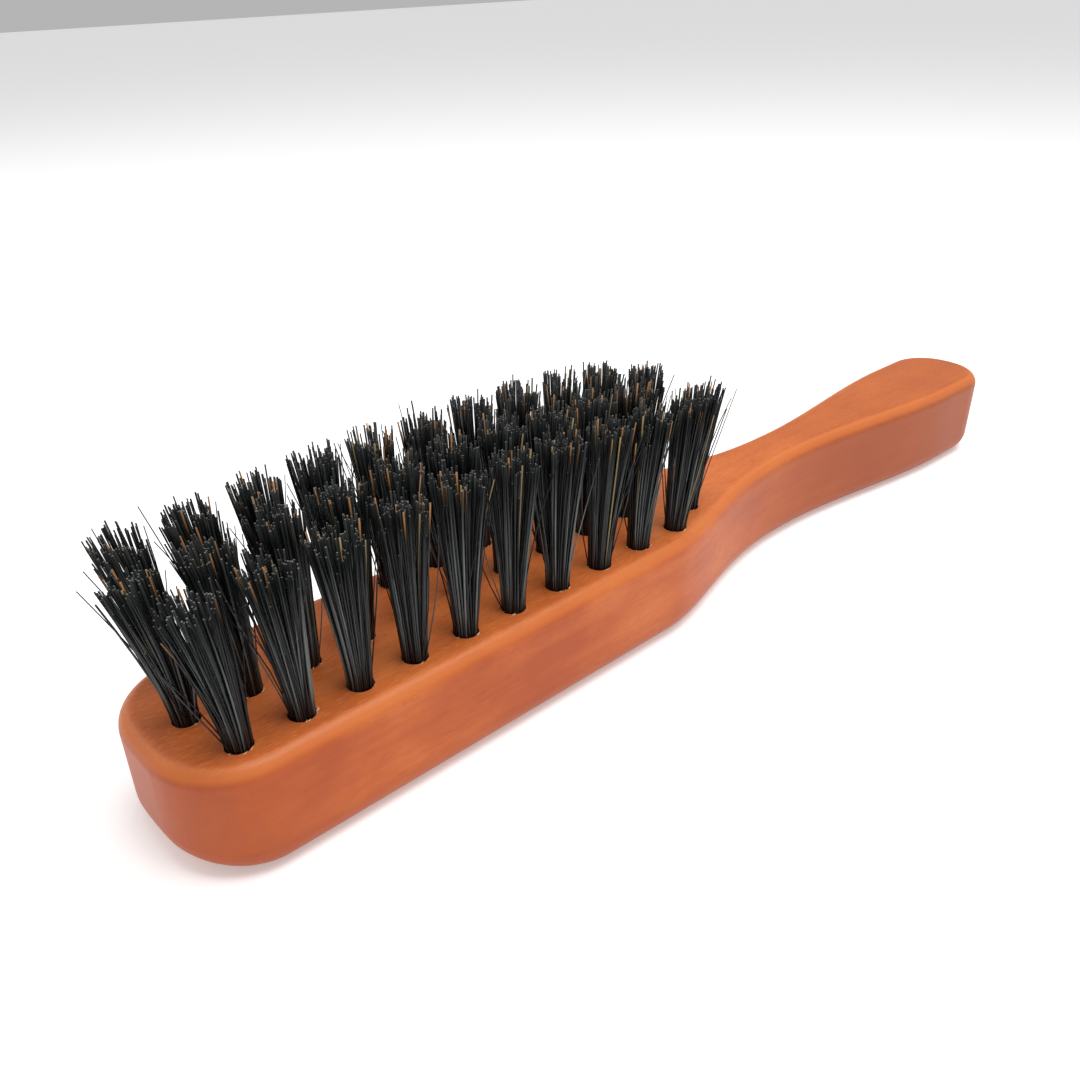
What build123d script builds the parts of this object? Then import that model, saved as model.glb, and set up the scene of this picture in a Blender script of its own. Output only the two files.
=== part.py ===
from build123d import *
import os

# Fade brush: a one-piece wooden block and handle lying on its back, with three staggered rows
# of bristle tufts standing up, and two more tufts where the head draws in. Each tuft is folded
# in two round a flat steel anchor near the bottom of a blind hole. Millimetres. X runs from
# the toe to the end of the handle, Y across the brush and Z up. While the pieces are built,
# x = 0 is the first tuft of the outer rows; at the end they all move together, so that the
# origin is at the middle of the bottom of the whole brush.

# ---- Block and handle, seen from above ----
TOE_X = -8.7              # tip of the toe
TOE_BOW = 1.3             # how far the middle of the toe stands out past its corners
TOE_CORNER = 10.4         # plan radius of the toe's two corners
HEAD_WIDTH = 26.6         # at the toe corners, where it is widest
SHOULDER_X = 67.4         # where the head starts to draw in
SHOULDER_WIDTH = 24.8
SHOULDER_SWEEP = 9.6      # how far the head's line carries on into the neck's curve
NECK_SWEEP = 18.6         # how far the waist's line reaches back into the neck's curve
WAIST_START_X = 106.8     # end of the neck's curve
WAIST_END_X = 108.8       # start of the handle's flare
WAIST_WIDTH = 9.4
FLARE_SWEEP = 14.0        # how far the waist's line carries on into the flare
PADDLE_SWEEP = 14.0       # how far the paddle's line reaches back into the flare
PADDLE_X = 152.0          # end of the flare
PADDLE_WIDTH = 17.2
END_X = 167.5             # end of the handle
END_BOW = 1.8             # how far the middle of the end stands out past its corners
END_CORNER = 8.0          # plan radius of the end's two corners

# ---- Block and handle, seen from the side ----
THICKNESS = 15.6
TOP_ROUNDING = 2.2        # radius along the edge on the bristle side
BACK_ROUNDING = 3.2       # radius along the edge of the back
TOE_LIFT = 2.6            # how far the back rises off its flat at the toe's tip
TOE_LIFT_LENGTH = 11.0    # and over what length
END_LIFT = 2.4            # the same at the end of the handle
END_LIFT_LENGTH = 9.0
LIFT_TOLERANCE = 0.01     # for picking out the edges of the back

# ---- Tufts ----
TUFT_PITCH = 8.0          # along a row
ROW_TUFTS = 10            # in each of the three rows
ROW_SPACING = 8.2         # between neighbouring rows
MIDDLE_STAGGER = -2.2     # the middle row's shift along X
END_TUFT_X = 78.4         # the two tufts where the head draws in
END_TUFT_Y = 5.1
HOLE_DIAMETER = 3.4
HOLE_DEPTH = 8.6          # to the start of the drill's point
CUTTER_OVERSHOOT = 1.0    # how far the hole's cutter reaches above the wood
DRILL_POINT = 0.8         # depth of the cone left by the drill's point
DRILL_TIP_RADIUS = 0.05   # at the very end of that cone
ROOT_CLEARANCE = 0.05     # between a tuft's root and its hole, all round
ROOT_ROUNDING = 0.8       # radius of the folded end of a tuft
COLLAR_HEIGHT = 1.2       # straight stretch of a tuft above the wood
TRIM_HEIGHT = 21.8        # bristle tips above the wood, at the middle of the rows
TRIM_CROWN = 2.0          # how much lower they are at the ends of the rows
TIP_DIAMETER = 7.0        # a tuft's width at its tips
TOE_LEAN = -2.4           # tip offset along X of a tuft at the toe
END_LEAN = 1.6            # tip offset along X of a tuft at the far end of a row
SIDE_LEAN = 0.6           # outward tip offset of the outer rows and the end tufts

# ---- Anchors ----
ANCHOR_LENGTH = 5.2       # longer than the hole is wide, so that its ends bite into the wood
ANCHOR_HEIGHT = 2.0
ANCHOR_THICKNESS = 0.5
ANCHOR_LIFT = 1.6         # above the start of the drill's point
ANCHOR_FIT = 0.02         # between an anchor and what it is driven through

TOE_CORNERS_X = TOE_X + TOE_BOW
END_CORNERS_X = END_X - END_BOW
ROW_LENGTH = (ROW_TUFTS - 1) * TUFT_PITCH
HOLE_FLOOR = THICKNESS - HOLE_DEPTH
ROOT_RADIUS = HOLE_DIAMETER / 2 - ROOT_CLEARANCE


def long_side(side):
    """Edges of one long side, from toe to handle end; side is 1 for +Y and -1 for -Y."""
    corner_y, shoulder_y, waist_y, paddle_y = (
        side * width / 2 for width in (HEAD_WIDTH, SHOULDER_WIDTH, WAIST_WIDTH, PADDLE_WIDTH)
    )
    head = Line((TOE_CORNERS_X, corner_y), (SHOULDER_X, shoulder_y))
    neck = Bezier(
        (SHOULDER_X, shoulder_y),
        (SHOULDER_X + SHOULDER_SWEEP, shoulder_y),
        (WAIST_START_X - NECK_SWEEP, waist_y),
        (WAIST_START_X, waist_y),
    )
    waist = Line((WAIST_START_X, waist_y), (WAIST_END_X, waist_y))
    flare = Bezier(
        (WAIST_END_X, waist_y),
        (WAIST_END_X + FLARE_SWEEP, waist_y),
        (PADDLE_X - PADDLE_SWEEP, paddle_y),
        (PADDLE_X, paddle_y),
    )
    paddle = Line((PADDLE_X, paddle_y), (END_CORNERS_X, paddle_y))
    return [head, neck, waist, flare, paddle]


def bowed_end(corners_x, tip_x, width):
    """Gentle arc across one end, from corner to corner by way of its tip."""
    return ThreePointArc((corners_x, -width / 2), (tip_x, 0), (corners_x, width / 2))


def block_outline():
    """Plan shape of the block and handle, with its four corners rounded."""
    toe = bowed_end(TOE_CORNERS_X, TOE_X, HEAD_WIDTH)
    end = bowed_end(END_CORNERS_X, END_X, PADDLE_WIDTH)
    face = make_face(long_side(1) + long_side(-1) + [toe, end])
    face = fillet(face.vertices().group_by(Axis.X)[0], TOE_CORNER)
    return fillet(face.vertices().group_by(Axis.X)[-1], END_CORNER)


def side_outline():
    """Side shape of the block and handle in X and Z: flat, with its back rising at both ends."""
    flat_start, flat_end = TOE_X + TOE_LIFT_LENGTH, END_X - END_LIFT_LENGTH
    return make_face(
        [
            Line((flat_start, 0), (flat_end, 0)),
            TangentArc((flat_end, 0), (END_X, END_LIFT), tangent=(1, 0)),
            Polyline((END_X, END_LIFT), (END_X, THICKNESS), (TOE_X, THICKNESS), (TOE_X, TOE_LIFT)),
            TangentArc((flat_start, 0), (TOE_X, TOE_LIFT), tangent=(-1, 0)),
        ]
    )


def hole_cutter():
    """What one drilled hole removes, with its axis on Z and the wood's top at THICKNESS."""
    radius = HOLE_DIAMETER / 2
    bore = Pos(0, 0, HOLE_FLOOR) * Cylinder(
        radius, HOLE_DEPTH + CUTTER_OVERSHOOT, align=(Align.CENTER, Align.CENTER, Align.MIN)
    )
    point = Pos(0, 0, HOLE_FLOOR - DRILL_POINT) * Cone(
        DRILL_TIP_RADIUS, radius, DRILL_POINT, align=(Align.CENTER, Align.CENTER, Align.MIN)
    )
    return bore + point


def anchor(gap=0.0):
    """One flat steel anchor on its hole's axis, or the space for it with a gap all round."""
    return Pos(0, 0, HOLE_FLOOR + ANCHOR_LIFT - gap) * Box(
        ANCHOR_LENGTH + 2 * gap,
        ANCHOR_THICKNESS + 2 * gap,
        ANCHOR_HEIGHT + 2 * gap,
        align=(Align.CENTER, Align.CENTER, Align.MIN),
    )


def tuft(lean_x, lean_y, trim_height):
    """One tuft on its hole's axis: a folded root, a straight collar and a leaning flare."""
    collar_top = THICKNESS + COLLAR_HEIGHT
    root = Pos(0, 0, HOLE_FLOOR) * Cylinder(
        ROOT_RADIUS, collar_top - HOLE_FLOOR, align=(Align.CENTER, Align.CENTER, Align.MIN)
    )
    root = fillet(root.edges().group_by(Axis.Z)[0], ROOT_ROUNDING)
    flare = loft(
        [
            Pos(0, 0, collar_top) * Circle(ROOT_RADIUS),
            Pos(lean_x, lean_y, THICKNESS + trim_height) * Circle(TIP_DIAMETER / 2),
        ],
        ruled=True,
    )
    return root + flare - anchor(ANCHOR_FIT)


def lean_along(x):
    """Tip offset along X at x: backwards at the toe, none near the middle, forwards at the end."""
    along = min(max(x / ROW_LENGTH, 0), 1)
    return TOE_LEAN * (1 - along) ** 3 + END_LEAN * along**3


def trim_along(x):
    """Height of the tips above the wood at x: a shallow parabola, highest half way along."""
    from_middle = x / (ROW_LENGTH / 2) - 1
    return TRIM_HEIGHT - TRIM_CROWN * from_middle**2


def tuft_places():
    """For each group of tufts: its name, and x, y and outward lean for every tuft in it."""
    rows = {
        "right": (0.0, -ROW_SPACING, -SIDE_LEAN),
        "middle": (MIDDLE_STAGGER, 0.0, 0.0),
        "left": (0.0, ROW_SPACING, SIDE_LEAN),
    }
    places = {
        name: [(start + i * TUFT_PITCH, y, lean) for i in range(ROW_TUFTS)]
        for name, (start, y, lean) in rows.items()
    }
    places["end"] = [
        (END_TUFT_X, -END_TUFT_Y, -SIDE_LEAN),
        (END_TUFT_X, END_TUFT_Y, SIDE_LEAN),
    ]
    return places


def brush_block(spots):
    """The wooden block with a drilled hole and an anchor seat at each spot."""
    block = extrude(block_outline(), THICKNESS)
    block &= extrude(Plane.XZ * side_outline(), HEAD_WIDTH, both=True)
    top_face = block.faces().sort_by(Axis.Z)[-1]
    block = fillet(top_face.edges(), TOP_ROUNDING)
    back_top = max(TOE_LIFT, END_LIFT) + LIFT_TOLERANCE
    back_edges = [
        edge
        for edge in block.edges().filter_by(Axis.Y, reverse=True)
        if edge.bounding_box().max.Z < back_top
    ]
    block = fillet(back_edges, BACK_ROUNDING)
    cutters = [Pos(x, y, 0) * (hole_cutter() + anchor(ANCHOR_FIT)) for x, y in spots]
    return block - cutters


places = tuft_places()
spots = [(x, y) for group in places.values() for x, y, _ in group]

nodes = {"brush_block": brush_block(spots)}
for group, members in places.items():
    for number, (x, y, side_lean) in enumerate(members, start=1):
        nodes[f"{group}_tuft_{number:02d}"] = Pos(x, y, 0) * tuft(
            lean_along(x), side_lean, trim_along(x)
        )
    nodes[f"{group}_anchors"] = Compound([Pos(x, y, 0) * anchor() for x, y, _ in members])

# ---- Move the origin to the middle of the bottom, then write one file for each node ----
boxes = [shape.bounding_box() for shape in nodes.values()]
low = [min(tuple(box.min)[k] for box in boxes) for k in range(3)]
high = [max(tuple(box.max)[k] for box in boxes) for k in range(3)]
to_origin = Pos(-(low[0] + high[0]) / 2, -(low[1] + high[1]) / 2, -low[2])

os.makedirs("parts", exist_ok=True)
for name, shape in nodes.items():
    export_step(to_origin * shape, f"parts/{name}.step")
size = " x ".join(f"{top - bottom:.1f}" for bottom, top in zip(low, high))
print(f"{len(nodes)} nodes, {size} mm, moved by X {to_origin.position.X:.3f}")
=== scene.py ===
"""Looks of a barber's fade brush: a stained wooden block and handle with tufts of bristle.

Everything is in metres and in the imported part's own frame: +X runs along the brush from the
toe to the end of the handle, +Y across it, and +Z up, the way the bristles point. The wooden
block and the anchors keep their CAD nodes and get a finish. Each plain CAD tuft is replaced by
its separate bristles, and the rims of the drilled holes get their torn fibres.
"""

import logging
import math
from collections.abc import Mapping, Sequence
from dataclasses import dataclass, field
from enum import Enum
from typing import Any

import bpy
import numpy as np
from mathutils import Matrix, Vector


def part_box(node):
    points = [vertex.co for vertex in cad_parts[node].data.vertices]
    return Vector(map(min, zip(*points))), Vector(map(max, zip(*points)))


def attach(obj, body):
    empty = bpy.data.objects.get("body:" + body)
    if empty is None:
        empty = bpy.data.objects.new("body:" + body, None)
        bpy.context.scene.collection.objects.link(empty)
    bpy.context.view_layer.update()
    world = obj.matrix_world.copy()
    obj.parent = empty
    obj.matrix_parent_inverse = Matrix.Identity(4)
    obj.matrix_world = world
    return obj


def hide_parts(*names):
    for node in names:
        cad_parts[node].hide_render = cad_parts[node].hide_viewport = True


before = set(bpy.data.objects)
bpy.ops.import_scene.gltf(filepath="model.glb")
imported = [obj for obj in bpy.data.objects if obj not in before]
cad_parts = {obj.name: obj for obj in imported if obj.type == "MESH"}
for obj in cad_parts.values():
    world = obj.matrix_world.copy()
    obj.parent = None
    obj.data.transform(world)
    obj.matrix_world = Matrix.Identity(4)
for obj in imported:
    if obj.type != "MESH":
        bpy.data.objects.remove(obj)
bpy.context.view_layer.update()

LOG = logging.getLogger("fade_brush")
MM = 0.001
BLOCK_NODE = "brush_block"
GOLDEN_ANGLE = math.pi * (3 - math.sqrt(5))

Colour = tuple[float, float, float]
Triple = tuple[float, float, float]
Span = tuple[float, float]


# ---------------------------------------------------------------------------
# Shader graphs
# ---------------------------------------------------------------------------


class Signal:
    """A shader socket that takes part in Python arithmetic by adding Math nodes."""

    def __init__(self, graph: "Graph", socket: bpy.types.NodeSocket | None) -> None:
        """Wraps one output socket of a node in graph; a closing node has none."""
        self.graph = graph
        self.socket = socket

    def __add__(self, other: "Signal | float") -> "Signal":
        """self + other."""
        return self.graph.math("ADD", self, other)

    def __radd__(self, other: float) -> "Signal":
        """other + self."""
        return self.graph.math("ADD", other, self)

    def __sub__(self, other: "Signal | float") -> "Signal":
        """self - other."""
        return self.graph.math("SUBTRACT", self, other)

    def __rsub__(self, other: float) -> "Signal":
        """other - self."""
        return self.graph.math("SUBTRACT", other, self)

    def __mul__(self, other: "Signal | float") -> "Signal":
        """self * other."""
        return self.graph.math("MULTIPLY", self, other)

    def __rmul__(self, other: float) -> "Signal":
        """other * self."""
        return self.graph.math("MULTIPLY", other, self)

    def rise(self, low: float, high: float) -> "Signal":
        """A smooth step from 0 at low to 1 at high."""
        return self.graph.add(
            "MapRange",
            {"interpolation_type": "SMOOTHSTEP"},
            {0: self, 1: low, 2: high, 3: 0.0, 4: 1.0},
        )


class Graph:
    """The node tree of one material, with one method that adds any node."""

    def __init__(self, name: str) -> None:
        """Makes an empty material with that name."""
        self.material = bpy.data.materials.new(name)
        self.material.use_nodes = True
        self.tree = self.material.node_tree
        self.tree.nodes.clear()

    def add(
        self,
        kind: str,
        settings: Mapping[str, Any] | None = None,
        inputs: Mapping[str | int, Any] | None = None,
        output: str | int = 0,
    ) -> Signal:
        """Adds any node: its settings first, then the values or links of its sockets.

        Args:
            kind: The node's type without its ShaderNode prefix, such as TexNoise.
            settings: Properties by name. On a colour ramp, "stops" lists (place, colour).
            inputs: Plain values or Signals, by the socket's name or number.
            output: Which of the node's outputs the result stands for.

        Returns:
            The chosen output, ready for more arithmetic.
        """
        node = self.tree.nodes.new("ShaderNode" + kind)
        for name, value in (settings or {}).items():
            if name == "stops":
                self._set_stops(node.color_ramp, value)
            else:
                setattr(node, name, value)
        for place, value in (inputs or {}).items():
            self._plug(node.inputs[place], value)
        return Signal(self, node.outputs[output] if node.outputs else None)

    @staticmethod
    def _set_stops(ramp: bpy.types.ColorRamp, stops: Sequence[tuple[float, Colour]]) -> None:
        """Replaces a ramp's stops with those in the list."""
        while len(ramp.elements) < len(stops):
            ramp.elements.new(1.0)
        for element, (place, colour) in zip(ramp.elements, stops):
            element.position = place
            element.color = (*colour, 1.0)

    def _plug(self, socket: bpy.types.NodeSocket, value: Any) -> None:
        """Links a Signal to a socket, or sets the socket's own value."""
        if isinstance(value, Signal):
            self.tree.links.new(value.socket, socket)
        elif socket.type == "RGBA" and len(value) == 3:
            socket.default_value = (*value, 1.0)
        else:
            socket.default_value = value

    def math(self, operation: str, first: Signal | float, second: Signal | float) -> Signal:
        """One Math node on two values."""
        return self.add("Math", {"operation": operation}, {0: first, 1: second})

    def scaled(self, vector: Signal, by: Triple) -> Signal:
        """A vector with each of its components multiplied."""
        return self.add("VectorMath", {"operation": "MULTIPLY"}, {0: vector, 1: by})

    def moved(self, vector: Signal, by: Signal) -> Signal:
        """The sum of two vectors."""
        return self.add("VectorMath", {"operation": "ADD"}, {0: vector, 1: by})

    def mix(
        self, mask: Signal | float, off: Signal | Colour, on: Signal | Colour, how: str = "MIX"
    ) -> Signal:
        """One colour laid over another.

        Args:
            mask: 0 shows off and 1 shows on.
            off: The colour underneath.
            on: The colour on top.
            how: The Mix node's blend type.

        Returns:
            The mixed colour.
        """
        return self.add(
            "Mix", {"data_type": "RGBA", "blend_type": how}, {0: mask, 6: off, 7: on}, output=2
        )

    def noise(
        self,
        place: Signal,
        per_unit: Triple,
        detail: float = 3.0,
        roughness: float = 0.5,
        output: str = "Fac",
    ) -> Signal:
        """Smooth noise from 0 to 1 about 0.5.

        Args:
            place: Where to read it.
            per_unit: About how many blobs there are in one unit of the place, each way.
            detail: How many finer octaves are added.
            roughness: How strong the finer octaves are.
            output: Fac for one number, or Color for three that don't depend on each other.

        Returns:
            The noise.
        """
        return self.add(
            "TexNoise",
            {"noise_dimensions": "3D"},
            {
                "Vector": self.scaled(place, per_unit),
                "Scale": 1.0,
                "Detail": detail,
                "Roughness": roughness,
            },
            output=output,
        )

    def attribute(self, name: str) -> Signal:
        """A number that the mesh carries under that name."""
        return self.add("Attribute", {"attribute_name": name}, output="Fac")

    def millimetres(self) -> Signal:
        """The object's own coordinates, in millimetres."""
        place = self.add("TexCoord", output="Object")
        return self.scaled(place, (1 / MM, 1 / MM, 1 / MM))

    def parts(self, vector: Signal) -> tuple[Signal, Signal, Signal]:
        """The three components of a vector."""
        first = self.add("SeparateXYZ", {}, {0: vector})
        outputs = first.socket.node.outputs
        return first, Signal(self, outputs[1]), Signal(self, outputs[2])

    def finish(self, sockets: Mapping[str, Any]) -> bpy.types.Material:
        """Closes the graph with a Principled shader.

        Args:
            sockets: Values or Signals of the shader's sockets by name.

        Returns:
            The finished material.
        """
        shader = self.add("BsdfPrincipled", {}, sockets)
        self.add("OutputMaterial", {}, {"Surface": shader})
        return self.material


# ---------------------------------------------------------------------------
# Finishes
# ---------------------------------------------------------------------------


@dataclass(frozen=True)
class Streaks:
    """One layer of noise in the wood: its blobs per millimetre each way, and their make-up."""

    per_mm: Triple
    detail: float
    roughness: float = 0.5

    def read(self, g: Graph, place: Signal) -> Signal:
        """The layer's value at a place that is in millimetres."""
        return g.noise(place, self.per_mm, self.detail, self.roughness)


@dataclass(frozen=True)
class StainedWood:
    """Close-grained wood under an orange-brown stain and a thin satin lacquer.

    The stain is cloudy. It sits darker in the fine lengthwise grain and in the end grain of the
    toe, which is also painted darker as shade. Painted shade darkens the sides and the
    underside along the back, and the handle is darker, its sides most as painted shade. The
    drilled face is paler as painted light from above, and flecked, and a painted highlight
    runs along the rounded edge round it.
    """

    name: str = "stained_wood"
    ground: Colour = (0.600, 0.136, 0.027)
    # pale is also the colour of the painted top light and the painted edge highlight.
    pale: Colour = (0.740, 0.215, 0.058)
    # deep is also the colour of the painted shade on the sides.
    deep: Colour = (0.455, 0.082, 0.015)
    pore: Colour = (0.270, 0.045, 0.012)
    # The toe's end grain colour, also laid over the toe as painted shade.
    end_grain_and_shade: Colour = (0.390, 0.076, 0.024)
    # Colour of the darker handle, whose sides are painted shade, and of the painted shade on the
    # underside.
    handle_and_shade_dark: Colour = (0.330, 0.066, 0.013)
    # How far from the toe the end grain colour and its painted shade reach.
    toe_dark_depth_mm: float = 24.0
    handle_dark_span_mm: Span = (82.0, 140.0)  # from the toe, where the handle's darkening sets in and is full
    underside_shade_span_mm: Span = (0.5, 5.0)  # above the back, where the painted shade of the underside ends
    edge_highlight_span_mm: Span = (-4.5, -1.5)  # about the drilled face, where the painted highlight along the rounded edge lies
    wander_per_mm: Triple = (0.02, 0.05, 0.05)
    wander_mm: Triple = (0.0, 4.0, 4.0)
    bands: Streaks = Streaks((0.010, 0.21, 0.21), 2.0)
    grain: Streaks = Streaks((0.022, 0.95, 0.95), 5.0, 0.62)
    hairs: Streaks = Streaks((0.075, 3.4, 3.4), 3.0, 0.6)
    clouds: Streaks = Streaks((0.075, 0.13, 0.13), 4.0, 0.55)
    pores: Streaks = Streaks((0.30, 4.6, 4.6), 1.0)
    rings: Streaks = Streaks((0.05, 1.5, 0.10), 4.0, 0.6)
    flecks: Streaks = Streaks((0.75, 5.2, 5.2), 2.0)
    bump_mm: float = 0.05

    def _worn(self, g: Graph, colour: Signal, bent: Signal, toe_x: float, top_z: float) -> Signal:
        """The stain's differences from one part of the block to another, with painted light and
        shade.

        Args:
            g: The graph.
            colour: The stain alone.
            bent: Places in millimetres, along the wandering grain.
            toe_x: X of the toe's tip, in metres.
            top_z: Z of the drilled face, in metres.

        Returns:
            The colour with its end grain and painted shade at the toe, the painted top light,
            the painted shade on the sides and the underside, the darker handle and the painted
            edge highlight.
        """
        x, _, z = g.parts(g.millimetres())
        _, _, facing_up = g.parts(g.add("TexCoord", output="Normal"))
        from_toe = x - toe_x / MM
        toe = 1.0 - from_toe.rise(1.0, self.toe_dark_depth_mm)
        handle_and_shade_dark = from_toe.rise(*self.handle_dark_span_mm)
        # Faces that face up, for painted light from above; then the rounded edge, for a painted
        # highlight.
        top_lit = facing_up.rise(0.55, 0.95)
        slanting = facing_up.rise(0.20, 0.62) * (1.0 - facing_up.rise(0.90, 0.999))
        edge_highlight = slanting * (z - top_z / MM).rise(*self.edge_highlight_span_mm)

        rings = self.rings.read(g, bent)
        flecks = self.flecks.read(g, bent)
        toe_grain_and_shade = g.mix(rings.rise(0.38, 0.66), self.deep, self.end_grain_and_shade)
        # The toe's end grain with its rings, spread over the toe's first centimetres as partly
        # painted shade.
        colour = g.mix(toe * 0.80, colour, toe_grain_and_shade)
        # Painted light: faces that face up are paler, as lit from above, and paler still in flecks.
        colour = g.mix(top_lit * (0.34 + flecks.rise(0.52, 0.68) * 0.40), colour, self.pale)
        colour = g.mix((1.0 - flecks.rise(0.30, 0.42)) * 0.42, colour, self.deep)
        # Painted shade on every face that doesn't face up.
        colour = g.mix((1.0 - top_lit) * 0.30, colour, self.deep)
        # Painted shade on the underside, along the back.
        colour = g.mix((1.0 - z.rise(*self.underside_shade_span_mm)) * 0.60, colour, self.handle_and_shade_dark)
        # The handle darker, its sides more than its top as painted shade.
        colour = g.mix(handle_and_shade_dark * (0.76 - top_lit * 0.34), colour, self.handle_and_shade_dark)
        # Painted highlight along the rounded edge round the drilled face.
        return g.mix(edge_highlight * 0.55, colour, self.pale)

    def make(self, toe_x: float, top_z: float) -> bpy.types.Material:
        """Builds the material.

        Args:
            toe_x: X of the toe's tip, in metres.
            top_z: Z of the drilled face, in metres.

        Returns:
            The material for the block.
        """
        g = Graph(self.name)
        place = g.millimetres()
        wander = g.noise(place, self.wander_per_mm, detail=2.0, output="Color")
        bent = g.moved(place, g.scaled(wander, self.wander_mm))
        bands, grain, hairs = (layer.read(g, bent) for layer in (self.bands, self.grain, self.hairs))
        clouds = self.clouds.read(g, place)
        pores = self.pores.read(g, bent).rise(0.66, 0.78)

        tone = (bands - 0.5) * 0.35 + (grain - 0.5) * 0.42 + (clouds - 0.5) * 1.10 + 0.5
        colour = g.add(
            "ValToRGB",
            {"stops": [(0.28, self.deep), (0.52, self.ground), (0.80, self.pale)]},
            {0: tone},
        )
        colour = g.mix(hairs.rise(0.50, 0.70) * 0.20, colour, self.deep)
        colour = g.mix(pores * 0.30, colour, self.pore)

        height = grain * 0.5 + hairs * 0.35 - pores * 0.6 + clouds * 0.25
        bump = g.add(
            "Bump", {}, {"Strength": 0.55, "Distance": self.bump_mm * MM, "Height": height}
        )
        return g.finish(
            {
                "Base Color": self._worn(g, colour, bent, toe_x, top_z),
                "Roughness": 0.44 + (clouds - 0.5) * 0.22 + pores * 0.2,
                "Normal": bump,
                "IOR": 1.32,
                "Coat Weight": 0.06,
                "Coat Roughness": 0.28,
            }
        )


@dataclass(frozen=True)
class RawFibre:
    """Pale torn wood at the rim of a drilled hole, where the stain hasn't soaked in."""

    name: str = "raw_fibre"
    pale: Colour = (0.84, 0.58, 0.36)
    stained: Colour = (0.60, 0.20, 0.06)

    def make(self) -> bpy.types.Material:
        """Builds the material, mottled from stained to pale.

        Returns:
            The material for the torn fibres.
        """
        g = Graph(self.name)
        place = g.millimetres()
        patch = g.noise(place, (0.9, 0.9, 0.9), detail=2.0)
        strands = g.noise(place, (1.0, 9.0, 9.0), detail=2.0)
        colour = g.mix(patch.rise(0.40, 0.62), self.stained, self.pale)
        return g.finish({"Base Color": colour, "Roughness": 0.62 + strands * 0.2})


@dataclass(frozen=True)
class BoarBristle:
    """Black to grey bristle, with grey streaks painted as sheen, darkest at both ends, some amber at
    the tip and a painted glint on each cut end.
    """

    name: str = "boar_bristle"
    black: Colour = (0.0020, 0.0024, 0.0026)
    grey: Colour = (0.150, 0.170, 0.168)
    root: Colour = (0.012, 0.009, 0.008)
    amber: Colour = (0.44, 0.205, 0.065)
    straw: Colour = (0.36, 0.265, 0.115)
    # Colour of the painted glint on the cut ends.
    cut_end_glint: Colour = (0.20, 0.19, 0.165)

    def make(self) -> bpy.types.Material:
        """Builds the material, which reads the numbers that each tuft's mesh carries.

        Returns:
            The material for every tuft.
        """
        g = Graph(self.name)
        place = g.millimetres()
        tone = g.attribute("tone")
        along = g.attribute("along")
        sheen_streaks = g.noise(place, (2.2, 2.2, 0.22))
        # Grey strands differ at random; the grey streaks along them are painted sheen.
        light = (tone * 0.95 + sheen_streaks * 0.5 - 0.32).rise(0.0, 1.0)
        light = light * (1.0 - along.rise(0.45, 0.90) * 0.80)
        colour = g.mix(light, self.black, self.grey)
        colour = g.mix((1.0 - along.rise(0.0, 0.22)) * 0.7, colour, self.root)
        colour = g.mix(g.attribute("amber") * along.rise(0.80, 0.97), colour, self.amber)
        straw = g.attribute("straw") * along.rise(-0.05, 0.35)
        colour = g.mix(straw * (0.55 + sheen_streaks * 0.45), colour, self.straw)
        # Painted glint on each cut end at the tips.
        colour = g.mix(g.attribute("cut") * (0.35 + tone * 0.65), colour, self.cut_end_glint)
        return g.finish(
            {
                "Base Color": colour,
                "Roughness": 0.26 + sheen_streaks * 0.2,
                "IOR": 1.34,
            }
        )


@dataclass(frozen=True)
class DrawnSteel:
    """Flat drawn steel strip with fine lengthwise scratches."""

    name: str = "drawn_steel"
    bright: Colour = (0.66, 0.65, 0.62)
    dull: Colour = (0.50, 0.49, 0.47)

    def make(self) -> bpy.types.Material:
        """Builds the material.

        Returns:
            The material for the anchors.
        """
        g = Graph(self.name)
        place = g.millimetres()
        scratches = g.noise(place, (0.6, 14.0, 14.0))
        return g.finish(
            {
                "Base Color": g.mix(scratches, self.dull, self.bright),
                "Metallic": 1.0,
                "Roughness": 0.28 + scratches * 0.2,
            }
        )


@dataclass(frozen=True)
class PaleFloor:
    """Plain matt floor, nearly white, lit a little from below like a light table."""

    name: str = "pale_floor"
    paint: Colour = (0.93, 0.93, 0.93)
    glow: float = 0.30

    def make(self) -> bpy.types.Material:
        """Builds the floor's plain material.

        Returns:
            The material for the floor.
        """
        return Graph(self.name).finish(
            {
                "Base Color": self.paint,
                "Roughness": 0.9,
                "Emission Color": self.paint,
                "Emission Strength": self.glow,
            }
        )


# ---------------------------------------------------------------------------
# Meshes
# ---------------------------------------------------------------------------


def new_piece(name: str, vertices: np.ndarray, faces: list[list[int]]) -> bpy.types.Object:
    """Makes a mesh object at the origin, linked to the scene.

    Args:
        name: The piece's name.
        vertices: Points of shape (n, 3), in metres.
        faces: Corner numbers of each face, anticlockwise from outside.

    Returns:
        The new object.
    """
    mesh = bpy.data.meshes.new(name)
    mesh.from_pydata(vertices, [], faces)
    mesh.update()
    piece = bpy.data.objects.new(name, mesh)
    bpy.context.scene.collection.objects.link(piece)
    return piece


def carry(mesh: bpy.types.Mesh, name: str, values: np.ndarray, domain: str) -> None:
    """Stores one number for each point or face of a mesh.

    Args:
        mesh: The mesh that carries them.
        name: What materials call them.
        values: The numbers, in the mesh's own order.
        domain: POINT or FACE.
    """
    attribute = mesh.attributes.new(name, "FLOAT", domain)
    attribute.data.foreach_set("value", np.ascontiguousarray(values, np.float32))


def unit(vectors: np.ndarray) -> np.ndarray:
    """Vectors of shape (..., 3) made one unit long."""
    return vectors / np.linalg.norm(vectors, axis=-1, keepdims=True)


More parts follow.
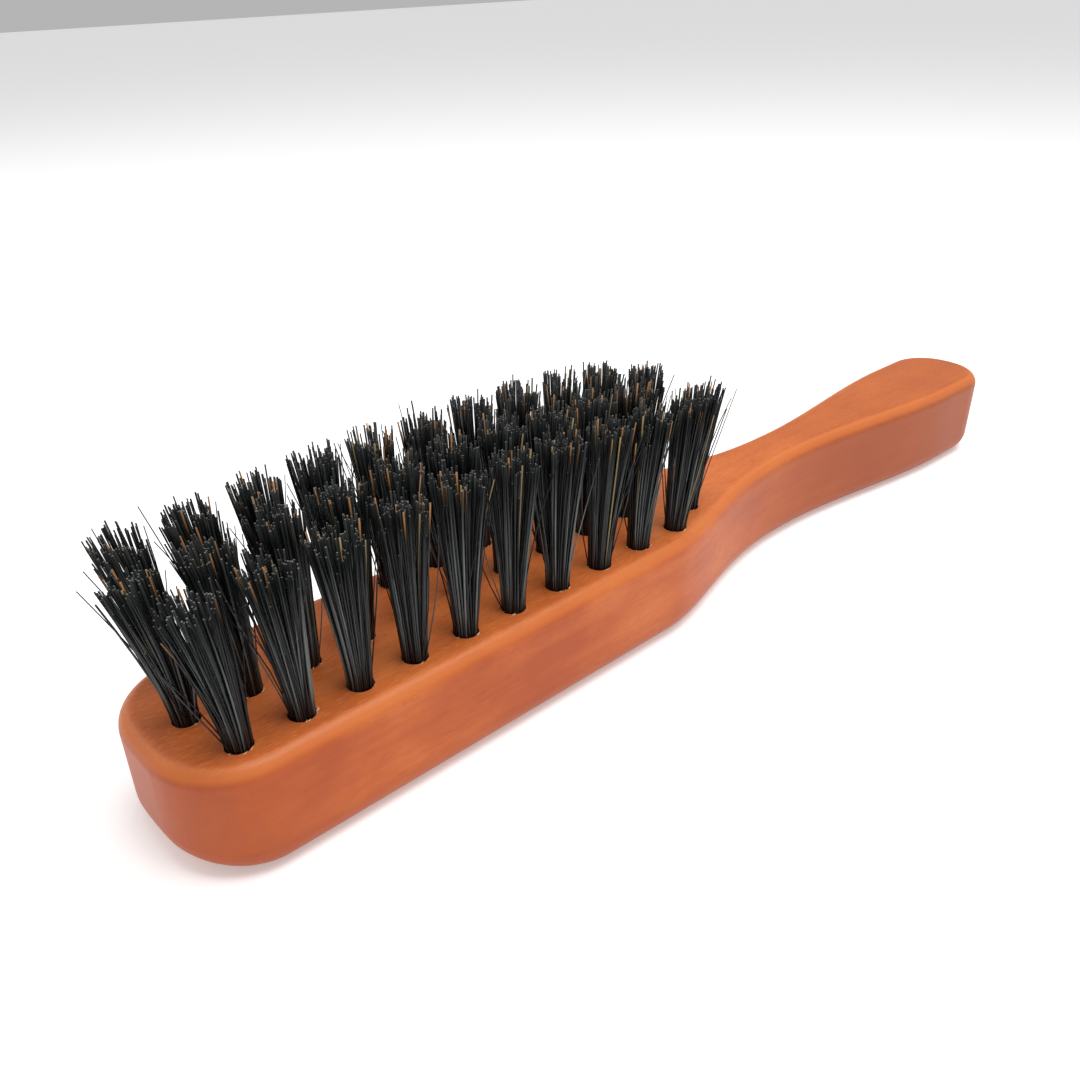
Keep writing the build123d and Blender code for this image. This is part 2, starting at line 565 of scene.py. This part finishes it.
def spread_in_disc(count: int) -> np.ndarray:
    """Evenly spread points in a disc of radius 1.

    Point i is at radius sqrt((i + 0.5) / count), turned by i golden angles.

    Args:
        count: How many points.

    Returns:
        Points of shape (count, 2).
    """
    i = np.arange(count)
    radius, angle = np.sqrt((i + 0.5) / count), i * GOLDEN_ANGLE
    return np.stack([radius * np.cos(angle), radius * np.sin(angle)], axis=-1)


@dataclass
class Tubes:
    """Many thin closed tubes of the same make, as one set of arrays."""

    paths: np.ndarray  # (tubes, rings, 3), in metres
    radii: np.ndarray  # (tubes, rings), in metres
    sides: int = 5

    def points(self) -> np.ndarray:
        """Ring points: centre + radius * (cos a * u + sin a * v), a going once round.

        u is the path's direction crossed with X, and v is the direction crossed with u, so
        each ring stands square to its path.

        Returns:
            Points of shape (tubes * rings * sides, 3).
        """
        direction = unit(np.gradient(self.paths, axis=1))
        u = unit(np.cross(np.array([1.0, 0.0, 0.0]), direction))
        v = np.cross(direction, u)
        angle = np.arange(self.sides) * 2 * np.pi / self.sides
        ring = (
            np.cos(angle)[:, None] * u[:, :, None, :] + np.sin(angle)[:, None] * v[:, :, None, :]
        )
        rings = self.paths[:, :, None, :] + self.radii[:, :, None, None] * ring
        return rings.reshape(-1, 3)

    def faces(self) -> list[list[int]]:
        """Wall quads of each tube in turn, then every lower cap, then every upper cap."""
        tubes, rings = self.radii.shape
        at = np.arange(tubes * rings * self.sides).reshape(tubes, rings, self.sides)
        after = np.roll(at, -1, axis=2)
        walls = np.stack([at[:, :-1], after[:, :-1], after[:, 1:], at[:, 1:]], axis=-1)
        lower, upper = at[:, 0, ::-1], at[:, -1]
        return walls.reshape(-1, 4).tolist() + lower.tolist() + upper.tolist()

    def strips(self) -> np.ndarray:
        """A flat map in which tube i is the i-th upright strip of the unit square.

        Going round the tube goes across its strip and going along the tube goes up it. The
        two caps are small polygons below and above the strip's wall.

        Returns:
            One (u, v) for each face corner, in the order of faces().
        """
        tubes, rings = self.radii.shape
        low, high, margin = 0.03, 0.95, 0.08
        side = margin + (1 - 2 * margin) * np.arange(self.sides + 1) / self.sides
        across = (np.arange(tubes)[:, None] + side) / tubes
        up = low + (high - low) * np.arange(rings) / (rings - 1)
        grid = np.stack(
            np.broadcast_arrays(across[:, None, :], up[None, :, None]), axis=-1
        )
        walls = np.stack(
            [grid[:, :-1, :-1], grid[:, :-1, 1:], grid[:, 1:, 1:], grid[:, 1:, :-1]], axis=-2
        )
        angle = np.arange(self.sides) * 2 * np.pi / self.sides
        disc = np.stack([0.36 / tubes * np.cos(angle), 0.011 * np.sin(angle)], axis=-1)
        middle = (np.arange(tubes) + 0.5) / tubes
        caps = [
            np.stack(np.broadcast_arrays(middle[:, None], v), axis=-1) + disc
            for v in (low / 2, (1 + high) / 2)
        ]
        return np.concatenate([walls.reshape(-1, 2), *(c.reshape(-1, 2) for c in caps)])


# ---------------------------------------------------------------------------
# The brush
# ---------------------------------------------------------------------------


class Row(Enum):
    """Where a group of tufts stands on the block."""

    RIGHT = "right"
    MIDDLE = "middle"
    LEFT = "left"
    END = "end"

    def tuft_nodes(self) -> list[str]:
        """Names of the row's CAD tufts, from the toe on."""
        return sorted(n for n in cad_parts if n.startswith(f"{self.value}_tuft_"))

    def anchor_node(self) -> str:
        """Name of the CAD node that holds the row's anchors."""
        return f"{self.value}_anchors"


@dataclass(frozen=True)
class Seat:
    """Where one tuft stands, read from its CAD node."""

    node: str
    base: np.ndarray  # (x, y) of the hole's axis
    base_radius: float
    floor_z: float
    top_z: float  # the wood round the hole
    tip: np.ndarray  # (x, y) of the middle of the tips
    tip_radius: float
    trim_z: float
    along: float  # 0 at the toe's first tuft, 1 at the last

    @classmethod
    def read(cls, node: str, top_z: float, rows: Span) -> "Seat":
        """Measures a CAD tuft: its root is below the wood's top, and its tips are its highest ring.

        Args:
            node: The tuft's CAD node.
            top_z: Z of the drilled face.
            rows: X of the first and of the last tuft.

        Returns:
            The seat.
        """
        co = np.array([v.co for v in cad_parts[node].data.vertices], float)
        root = co[co[:, 2] < top_z]
        tips = co[co[:, 2] > co[:, 2].max() - 0.02 * MM]
        base = (root.min(0) + root.max(0)) / 2
        tip = (tips.min(0) + tips.max(0)) / 2
        return cls(
            node=node,
            base=base[:2],
            base_radius=float(np.ptp(root[:, 0]) / 2),
            floor_z=float(co[:, 2].min()),
            top_z=top_z,
            tip=tip[:2],
            tip_radius=float(np.ptp(tips[:, 0]) / 2),
            trim_z=float(tip[2]),
            along=float((base[0] - rows[0]) / (rows[1] - rows[0])),
        )


@dataclass
class Tuft:
    """One tuft of separate bristles, folded under its anchor and fanning out above the wood."""

    seat: Seat
    seed: int
    bristles: int = 118
    strays: int = 7
    wisps: int = 13
    bristle_radius: float = 0.142 * MM
    anchor_half: float = 0.27 * MM  # half an anchor's thickness, with its fit
    anchor_low: float = 1.6 * MM  # its lower edge above the hole's floor
    anchor_high: float = 3.6 * MM
    fold_in: float = 0.45  # a folded end's offset from the hole's axis, in its leg's own
    fold_drop: float = 0.35 * MM
    flare_at_toe: float = 1.16  # how far the tips fill the CAD tuft's own width
    flare_at_end: float = 0.98
    wisp_pull: float = 0.42  # how far a tip moves from its own place to its wisp's
    jitter: tuple[float, float, float] = (0.018, 0.10, 0.045)  # of bases, wisps and tips
    cut_error: Span = (0.42 * MM, 0.34 * MM)  # of a wisp's and of a bristle's length
    short_by: float = 0.55 * MM
    longest: float = 1.0 * MM
    long_share: float = 0.05
    long_by: Span = (0.6 * MM, 1.8 * MM)
    short_share: float = 0.10
    cut_short_by: Span = (0.8 * MM, 3.5 * MM)
    fan_power: float = 1.3
    bow: float = 0.11 * MM
    thickness: Span = (0.80, 1.12)
    tip_taper: float = 0.20
    stray_reach: Span = (0.7, 1.9)  # further tip offset, in base offsets
    stray_short_by: Span = (0.2 * MM, 3.0 * MM)
    stray_bow: float = 5.0  # in other bristles' bows
    stray_thickness: float = 0.62
    lit_tone_at_toe: float = 1.45  # how much paler than usual the bristles are painted, as painted light on the tufts near the toe
    lit_tone_at_end: float = 0.95
    amber_share: float = 0.055
    straw_share: float = 0.006
    has_straw_front: bool = False

    LIFTS = np.array([0.0, 0.07, 0.2, 0.38, 0.58, 0.79, 1.0])
    FOLD_TAPER = np.array([0.9, 0.92, 0.95])

    def _ends(self, rng: np.random.Generator) -> tuple[np.ndarray, np.ndarray, np.ndarray]:
        """Where each bristle leaves the wood, where its tip is, and how high.

        Bristles are spread evenly over the hole. Each belongs to the nearest of a few wisps,
        and its tip lies part of the way from its own place to the wisp's. Each wisp and each
        bristle is cut a little short or long at random.

        Args:
            rng: The tuft's random numbers.

        Returns:
            Base places (n, 2), tip places (n, 2) and tip heights (n,), in metres.
        """
        s = self.seat
        place = spread_in_disc(self.bristles)
        turn = rng.uniform(0, 2 * np.pi)
        cos, sin = np.cos(turn), np.sin(turn)
        place = place @ np.array([[cos, sin], [-sin, cos]])
        base_jitter, wisp_jitter, tip_jitter = self.jitter
        place += rng.normal(0, base_jitter, place.shape)
        wisp = spread_in_disc(self.wisps) * 0.98 + rng.normal(0, wisp_jitter, (self.wisps, 2))
        mine = np.argmin(np.linalg.norm(place[:, None] - wisp[None], axis=-1), axis=1)
        tip = place + self.wisp_pull * (wisp[mine] - place)
        tip += rng.normal(0, tip_jitter, tip.shape)
        flare = self.flare_at_toe + (self.flare_at_end - self.flare_at_toe) * s.along
        base = s.base + place * (s.base_radius - self.bristle_radius * 0.9)
        tips = s.tip + tip * (s.tip_radius - self.bristle_radius) * flare
        wisp_error, own_error = self.cut_error
        cut = rng.normal(0, wisp_error, self.wisps)[mine]
        cut = cut + rng.normal(0, own_error, self.bristles)
        long_ones = rng.random(self.bristles) < self.long_share
        cut = np.where(long_ones, cut + rng.uniform(*self.long_by, self.bristles), cut)
        short_ones = rng.random(self.bristles) < self.short_share
        cut = np.where(short_ones, cut - rng.uniform(*self.cut_short_by, self.bristles), cut)
        height = s.trim_z - self.short_by + np.minimum(cut, self.short_by + self.longest)
        return base, tips, height

    def _paths(self, rng: np.random.Generator) -> tuple[np.ndarray, np.ndarray, np.ndarray]:
        """Centre lines, thicknesses and places along the visible length of all the bristles.

        Above the wood a bristle goes from its base to its tip by the share t ** fan_power, so
        that it stands straight in the hole and fans out higher up, with a slight bow that is
        greatest half way. Strays bow and lean much more.

        Args:
            rng: The tuft's random numbers.

        Returns:
            Paths (n, rings, 3), radii (n, rings) and places along (n, rings).
        """
        s = self.seat
        base, tips, height = self._ends(rng)
        n = self.bristles
        stray = np.zeros(n, bool)
        rim = np.argsort(np.linalg.norm(base - s.base, axis=1))[-n // 3 :]
        stray[rng.choice(rim, self.strays, replace=False)] = True
        out = base - s.base
        reach = np.where(stray, rng.uniform(*self.stray_reach, n), 0.0)[:, None]
        tips = tips + out * reach
        height = np.where(stray, height - rng.uniform(*self.stray_short_by, n), height)

        t = self.LIFTS[None, :, None]
        bow = rng.normal(0, self.bow, (n, 1, 2))
        bow = bow * np.where(stray, self.stray_bow, 1.0)[:, None, None]
        fanned = (tips - base)[:, None] * t**self.fan_power
        flat = base[:, None] + fanned + bow * 4 * t * (1 - t)
        rise = s.top_z + (height[:, None] - s.top_z) * self.LIFTS
        shown = np.concatenate([flat, rise[..., None]], axis=-1)
        paths = np.concatenate([self._fold(base), shown], axis=1)

        thick = self.bristle_radius * rng.uniform(*self.thickness, n)
        thick = thick * np.where(stray, self.stray_thickness, 1.0)
        taper = np.concatenate([self.FOLD_TAPER, 1.0 - self.tip_taper * self.LIFTS**2])
        radii = thick[:, None] * taper
        nowhere = np.zeros_like(self.FOLD_TAPER)
        along = np.broadcast_to(np.concatenate([nowhere, self.LIFTS]), radii.shape)
        return paths, radii, along

    def _fold(self, base: np.ndarray) -> np.ndarray:
        """The hidden start of every centre line, from its folded end up to the wood.

        In the hole a bristle is pushed to one side of the anchor, and its end turns in
        below the anchor. The further out it stands, the lower its end is.

        Args:
            base: Where the bristles leave the wood, of shape (n, 2).

        Returns:
            Three points for each bristle, of shape (n, 3, 3).
        """
        s = self.seat
        n = len(base)
        side = np.where(base[:, 1] >= s.base[1], 1.0, -1.0)
        apart = np.maximum(np.abs(base[:, 1] - s.base[1]), self.anchor_half + self.bristle_radius)
        beside = np.stack(
            [base[:, 0], s.base[1] + side * apart, np.full(n, s.floor_z + self.anchor_high)],
            axis=-1,
        )
        beneath = beside.copy()
        beneath[:, 2] = s.floor_z + self.anchor_low
        fold = np.stack(
            [
                base[:, 0],
                s.base[1] + side * apart * self.fold_in,
                s.floor_z + self.anchor_low - self.fold_drop - 0.6 * (apart - self.anchor_half),
            ],
            axis=-1,
        )
        return np.stack([fold, beneath, beside], axis=1)

    def build(self) -> bpy.types.Object:
        """Makes the tuft's mesh, with the numbers that its finish reads.

        Returns:
            The piece, which stands for the CAD tuft.
        """
        rng = np.random.default_rng(self.seed)
        paths, radii, along = self._paths(rng)
        tubes = Tubes(paths, radii)
        piece = new_piece(f"{self.seat.node}_bristles", tubes.points(), tubes.faces())
        mesh = piece.data
        n, rings = radii.shape
        spans = (rings - 1) * tubes.sides

        # Painted light: the tufts nearer the toe get paler bristles.
        paler = self.lit_tone_at_toe + (self.lit_tone_at_end - self.lit_tone_at_toe) * self.seat.along
        tone = np.clip(rng.beta(0.75, 1.7, n) * paler, 0, 1)
        amber = (rng.random(n) < self.amber_share) * rng.uniform(0.45, 1.0, n)
        straw = (rng.random(n) < self.straw_share) * 1.0
        if self.has_straw_front:
            straw[np.argmin(paths[:, 5, 1] + 0.4 * paths[:, 5, 0])] = 1.0
        for name, values in {"tone": tone, "amber": amber, "straw": straw}.items():
            each = np.concatenate([np.repeat(values, spans), values, values])
            carry(mesh, name, each, "FACE")
        # cut marks the upper caps, which get the painted glint of a cut end.
        cut = np.concatenate([np.zeros(n * spans + n), np.ones(n)])
        carry(mesh, "cut", cut, "FACE")
        carry(mesh, "along", np.repeat(along.ravel(), tubes.sides), "POINT")

        smooth = np.concatenate([np.ones(n * spans, bool), np.zeros(2 * n, bool)])
        mesh.polygons.foreach_set("use_smooth", smooth)
        layer = mesh.uv_layers.new(name="OFBake", do_init=False)
        layer.uv.foreach_set("vector", tubes.strips().astype(np.float32).ravel())
        return piece

    def dress(self, piece: bpy.types.Object, finish: bpy.types.Material) -> None:
        """Gives the tuft its finish and its place in the frame."""
        piece.data.materials.append(finish)
        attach(piece, "root")
        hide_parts(self.seat.node)


@dataclass
class TornRims:
    """Little splinters that the drill has torn up round the holes of one row."""

    row: Row
    seats: Sequence[Seat]
    seed: int
    per_hole: int = 10
    length: Span = (0.30 * MM, 0.95 * MM)
    width: float = 0.27 * MM
    lift: float = 0.22 * MM

    def build(self) -> bpy.types.Object:
        """Makes all the row's splinters as one piece of small closed wedges.

        Each splinter lies along the rim or a little across it. It is a wedge with a base
        triangle sunk in the wood and one raised corner.

        Returns:
            The piece.
        """
        rng = np.random.default_rng(self.seed)
        n = len(self.seats) * self.per_hole
        centre = np.repeat([[*s.base, s.top_z] for s in self.seats], self.per_hole, axis=0)
        radius = np.repeat([s.base_radius for s in self.seats], self.per_hole) + 0.10 * MM
        angle = rng.uniform(0, 2 * np.pi, n)
        out = np.stack([np.cos(angle), np.sin(angle), np.zeros(n)], axis=-1)
        heading = angle + np.pi / 2 + rng.normal(0, 0.6, n)
        ahead = np.stack([np.cos(heading), np.sin(heading), np.zeros(n)], axis=-1)
        aside = np.stack([-np.sin(heading), np.cos(heading), np.zeros(n)], axis=-1)
        middle = centre + out * radius[:, None]
        length = rng.uniform(*self.length, n)[:, None]
        width = self.width * rng.uniform(0.5, 1.2, n)[:, None]
        up = np.array([0.0, 0.0, 1.0])
        lift = self.lift * rng.uniform(0.3, 1.0, n)[:, None]
        sunk = -0.05 * MM * up
        tail = middle - ahead * length / 2 + sunk
        left = middle + aside * width / 2 + sunk
        right = middle - aside * width / 2 + sunk
        raised = middle + ahead * length / 2 + up * lift
        points = np.stack([tail, right, left, raised], axis=1).reshape(-1, 3)
        corner = np.arange(n)[:, None, None] * 4
        wedge = np.array([[0, 2, 1], [0, 1, 3], [1, 2, 3], [2, 0, 3]])
        faces = (corner + wedge).reshape(-1, 3).tolist()
        return new_piece(f"{self.row.value}_rim_splinters", points, faces)

    def dress(self, piece: bpy.types.Object, finish: bpy.types.Material) -> None:
        """Gives the splinters their finish and their place in the frame."""
        piece.data.materials.append(finish)
        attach(piece, "root")


@dataclass
class WoodenBlock:
    """The one-piece block and handle, which keeps its CAD shape."""

    node: str = BLOCK_NODE

    def ends(self) -> tuple[Vector, Vector]:
        """The lowest and the highest corner of the block."""
        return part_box(self.node)

    def dress(self, finish: StainedWood) -> None:
        """Gives the CAD node its stained finish.

        Args:
            finish: The wood's finish.
        """
        low, high = self.ends()
        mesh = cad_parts[self.node].data
        mesh.materials.clear()
        mesh.materials.append(finish.make(low.x, high.z))
        LOG.info("%s: dressed", self.node)


@dataclass
class BristleField:
    """All the tufts of the brush, with their anchors and the torn rims of their holes."""

    top_z: float
    seed: int = 20
    straw_fronts: tuple[str, ...] = ("right_tuft_08", "right_tuft_10")
    rows: tuple[Row, ...] = field(default_factory=lambda: tuple(Row))

    def seats(self) -> dict[Row, list[Seat]]:
        """Measures every CAD tuft.

        Returns:
            Each row's seats from the toe on.
        """
        names = [n for row in self.rows for n in row.tuft_nodes()]
        middles = [sum((c.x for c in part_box(n)), 0.0) / 2 for n in names]
        limits = (min(middles), max(middles))
        return {
            row: [Seat.read(n, self.top_z, limits) for n in row.tuft_nodes()]
            for row in self.rows
        }

    def build(self) -> None:
        """Builds and dresses every tuft, rim and anchor."""
        bristle, fibre, steel = BoarBristle().make(), RawFibre().make(), DrawnSteel().make()
        number = self.seed
        for row, seats in self.seats().items():
            for seat in seats:
                number += 1
                tuft = Tuft(seat, number, has_straw_front=seat.node in self.straw_fronts)
                piece = tuft.build()
                tuft.dress(piece, bristle)
                LOG.info("%s: %d faces", piece.name, len(piece.data.polygons))
            rims = TornRims(row, seats, number * 7)
            piece = rims.build()
            rims.dress(piece, fibre)
            LOG.info("%s: %d faces", piece.name, len(piece.data.polygons))
            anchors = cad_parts[row.anchor_node()].data
            anchors.materials.clear()
            anchors.materials.append(steel)
            LOG.info("%s: dressed", row.anchor_node())


# ---------------------------------------------------------------------------
# The studio
# ---------------------------------------------------------------------------


@dataclass
class Softbox:
    """One large square lamp, pointed at the brush."""

    name: str
    place: Triple
    size: float
    watts: float

    def build(self, aim: Vector) -> None:
        """Hangs the lamp.

        Args:
            aim: The point that it faces.
        """
        lamp = bpy.data.lights.new(self.name, "AREA")
        lamp.shape = "SQUARE"
        lamp.size = self.size
        lamp.energy = self.watts
        holder = bpy.data.objects.new(self.name, lamp)
        holder.location = self.place
        holder.rotation_euler = (aim - Vector(self.place)).to_track_quat("-Z", "Y").to_euler()
        bpy.context.scene.collection.objects.link(holder)


@dataclass
class Studio:
    """Plain pale floor, soft light all round, and the camera."""

    toe: Vector
    top_z: float
    aim_from_toe: float = 53.0 * MM
    aim_y: float = -0.7 * MM
    azimuth: float = math.radians(-39.8)
    elevation: float = math.radians(30.88)
    roll: float = math.radians(-2.12)
    reach: float = 139.98 * MM
    lens: float = 33.81
    shift: Span = (0.0365, 0.0318)
    floor_half: float = 2.5
    ambient: float = 0.46
    lamps: tuple[Softbox, ...] = (
        Softbox("overhead_softbox", (0.07, -0.10, 0.59), 0.40, 3.0),
        Softbox("back_softbox", (-0.30, 0.40, 0.35), 0.50, 0.6),
    )

    def aim(self) -> Vector:
        """The point on the drilled face that the camera looks at."""
        return Vector((self.toe.x + self.aim_from_toe, self.aim_y, self.top_z))

    def build_floor(self) -> None:
        """Lays the floor that the brush rests on."""
        h = self.floor_half
        corners = np.array([[-h, -h, 0.0], [h, -h, 0.0], [h, h, 0.0], [-h, h, 0.0]])
        floor = new_piece("studio_floor", corners, [[0, 1, 2, 3]])
        floor.data.materials.append(PaleFloor().make())

    def build_light(self) -> None:
        """Sets the even light of the room and hangs the lamps."""
        world = bpy.data.worlds.new("studio_air")
        world.use_nodes = True
        air = world.node_tree.nodes["Background"]
        air.inputs["Color"].default_value = (1.0, 1.0, 1.0, 1.0)
        air.inputs["Strength"].default_value = self.ambient
        bpy.context.scene.world = world
        for lamp in self.lamps:
            lamp.build(self.aim())

    def build_camera(self) -> None:
        """Places the camera by its azimuth, elevation and distance from its aim."""
        scene = bpy.context.scene
        data = bpy.data.cameras.new("studio_camera")
        data.sensor_width = 36.0
        data.lens = self.lens
        data.shift_x, data.shift_y = self.shift
        data.clip_start, data.clip_end = 0.005, 20.0
        camera = bpy.data.objects.new("studio_camera", data)
        scene.collection.objects.link(camera)
        flat = math.cos(self.elevation)
        back = Vector(
            (
                math.sin(self.azimuth) * flat,
                -math.cos(self.azimuth) * flat,
                math.sin(self.elevation),
            )
        )
        level = Vector((0, 0, 1)).cross(back).normalized()
        upright = back.cross(level)
        cos, sin = math.cos(self.roll), math.sin(self.roll)
        right, up = level * cos + upright * sin, upright * cos - level * sin
        turn = Matrix((right, up, back)).transposed().to_4x4()
        camera.matrix_world = Matrix.Translation(self.aim() + back * self.reach) @ turn
        scene.camera = camera

    def build(self) -> None:
        """Builds the floor, the light and the camera."""
        self.build_floor()
        self.build_light()
        self.build_camera()
        bpy.context.scene.view_settings.view_transform = "Standard"


def main() -> None:
    """Builds the brush and the studio round it."""
    logging.basicConfig(level=logging.INFO, format="%(message)s")
    block = WoodenBlock()
    low, high = block.ends()
    block.dress(StainedWood())
    BristleField(top_z=high.z).build()
    Studio(toe=low, top_z=high.z).build()


if __name__ == "__main__":
    main()
